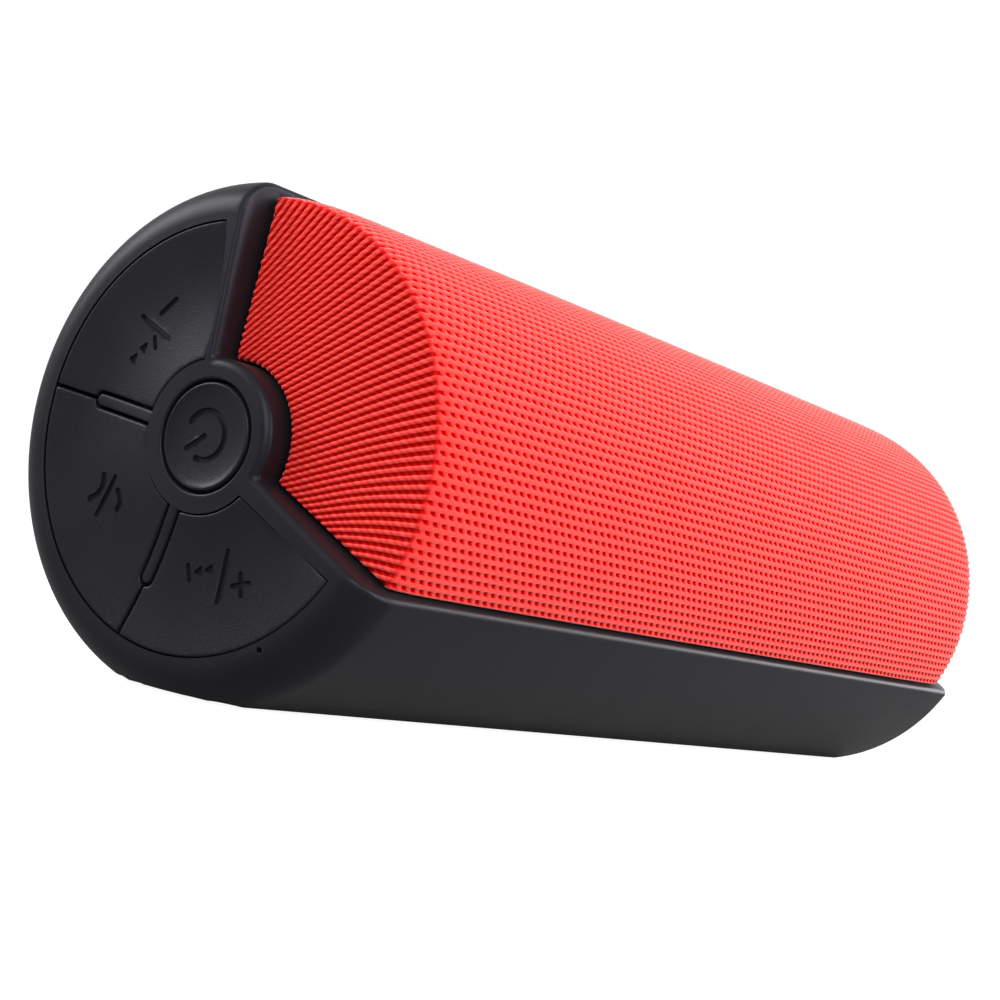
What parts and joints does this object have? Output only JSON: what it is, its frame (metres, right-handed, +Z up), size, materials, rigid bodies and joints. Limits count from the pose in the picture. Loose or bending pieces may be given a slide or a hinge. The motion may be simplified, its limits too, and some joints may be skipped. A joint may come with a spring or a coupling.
{
  "type": "portable bluetooth speaker",
  "caption": "Lying cylindrical wireless speaker: knitted front cover, soft-touch black housing with a flat base, sector keys round a power button on one end.",
  "frame": {"origin": "on the table, at the middle of the foot pad, straight under the middle of the cylinder axis", "axes": "+X runs along the cylinder from the control end to the plain end, -Y is the side the cover faces, +Z is up"},
  "size_m": [0.2, 0.0708, 0.0706],
  "materials": {
    "soft_black": "soft-touch satin",
    "key_rubber": "matte silicone",
    "red_knit": "ribbed knit",
    "frame_plastic": "moulded, fine grain",
    "foot_rubber": "matte",
    "board_green": "solder mask over glass fibre",
    "steel": "plated",
    "magnet_grey": "dark ferrite or painted plate",
    "copper": "enamelled winding",
    "paper_cone": "pressed black paper",
    "foam_rubber": "soft",
    "cell_wrap": "shrink wrap",
    "chip_black": "moulded epoxy"
  },
  "bodies": {
    "body": {"amplifier_chip": "chip_black", "aux_jack": "chip_black", "baffle": "frame_plastic", "baffle_gasket": "foam_rubber", "baffle_screw_1": "steel", "baffle_screw_2": "steel", "baffle_screw_3": "steel", "baffle_screw_4": "steel", "battery_cell_1": "cell_wrap", "battery_cell_2": "cell_wrap", "battery_tray": "frame_plastic", "board_screw_1": "steel", "board_screw_2": "steel", "board_screw_3": "steel", "board_screw_4": "steel", "card_slot": "steel", "cover": "red_knit", "driver_left_basket": "steel", "driver_left_magnet": "magnet_grey", "driver_left_surround": "foam_rubber", "driver_left_yoke": "steel", "driver_right_basket": "steel", "driver_right_magnet": "magnet_grey", "driver_right_surround": "foam_rubber", "driver_right_yoke": "steel", "driver_screw_1": "steel", "driver_screw_2": "steel", "driver_screw_3": "steel", "driver_screw_4": "steel", "foot_pad": "foot_rubber", "grille": "frame_plastic", "housing": "soft_black", "main_board": "board_green", "port_plate": "frame_plastic", "radiator_frame": "frame_plastic", "radiator_roll": "foam_rubber", "switch_board": "board_green", "switch_call_play": "steel", "switch_power": "steel", "switch_volume_down": "steel", "switch_volume_up": "steel", "usb_port": "steel", "wireless_module": "steel"},
    "power_button": {"power_button": "key_rubber"},
    "key_volume_down": {"key_volume_down": "key_rubber"},
    "key_call_play": {"key_call_play": "key_rubber"},
    "key_volume_up": {"key_volume_up": "key_rubber"},
    "plunger_power": {"plunger_power": "chip_black"},
    "plunger_volume_down": {"plunger_volume_down": "chip_black"},
    "plunger_call_play": {"plunger_call_play": "chip_black"},
    "plunger_volume_up": {"plunger_volume_up": "chip_black"},
    "left_cone": {"driver_left_cone": "paper_cone", "driver_left_dust_cap": "paper_cone", "driver_left_voice_coil": "copper"},
    "right_cone": {"driver_right_cone": "paper_cone", "driver_right_dust_cap": "paper_cone", "driver_right_voice_coil": "copper"},
    "radiator": {"radiator_plate": "magnet_grey"},
    "port_flap": {"port_flap": "key_rubber"}
  },
  "joints": [
    {"name": "power_press", "type": "slide", "parent": "body", "child": "power_button", "axis": [1, 0, 0], "range_m": [0, 0.0005]},
    {"name": "volume_down_press", "type": "slide", "parent": "body", "child": "key_volume_down", "axis": [1, 0, 0], "range_m": [0, 0.0005]},
    {"name": "call_play_press", "type": "slide", "parent": "body", "child": "key_call_play", "axis": [1, 0, 0], "range_m": [0, 0.0005]},
    {"name": "volume_up_press", "type": "slide", "parent": "body", "child": "key_volume_up", "axis": [1, 0, 0], "range_m": [0, 0.0005]},
    {"name": "power_plunger", "type": "slide", "parent": "body", "child": "plunger_power", "axis": [1, 0, 0], "range_m": [0, 0.00025]},
    {"name": "volume_down_plunger", "type": "slide", "parent": "body", "child": "plunger_volume_down", "axis": [1, 0, 0], "range_m": [0, 0.00025]},
    {"name": "call_play_plunger", "type": "slide", "parent": "body", "child": "plunger_call_play", "axis": [1, 0, 0], "range_m": [0, 0.00025]},
    {"name": "volume_up_plunger", "type": "slide", "parent": "body", "child": "plunger_volume_up", "axis": [1, 0, 0], "range_m": [0, 0.00025]},
    {"name": "left_cone_stroke", "type": "slide", "parent": "body", "child": "left_cone", "axis": [0, -0.8425, 0.5388], "range_m": [-0.0015, 0.0015]},
    {"name": "right_cone_stroke", "type": "slide", "parent": "body", "child": "right_cone", "axis": [0, -0.8425, 0.5388], "range_m": [-0.0015, 0.0015]},
    {"name": "radiator_stroke", "type": "slide", "parent": "body", "child": "radiator", "axis": [0, -0.8425, 0.5388], "range_m": [-0.002, 0.002]},
    {"name": "port_flap_hinge", "type": "hinge", "parent": "body", "child": "port_flap", "pos_m": [0, 0.03596, 0.0365], "axis": [-1, 0, 0], "range_deg": [0, 100]}
  ],
  "couplings": [
    {"joint": "power_plunger", "follows": "power_press", "ratio": 0.5},
    {"joint": "volume_down_plunger", "follows": "volume_down_press", "ratio": 0.5},
    {"joint": "call_play_plunger", "follows": "call_play_press", "ratio": 0.5},
    {"joint": "volume_up_plunger", "follows": "volume_up_press", "ratio": 0.5}
  ]
}
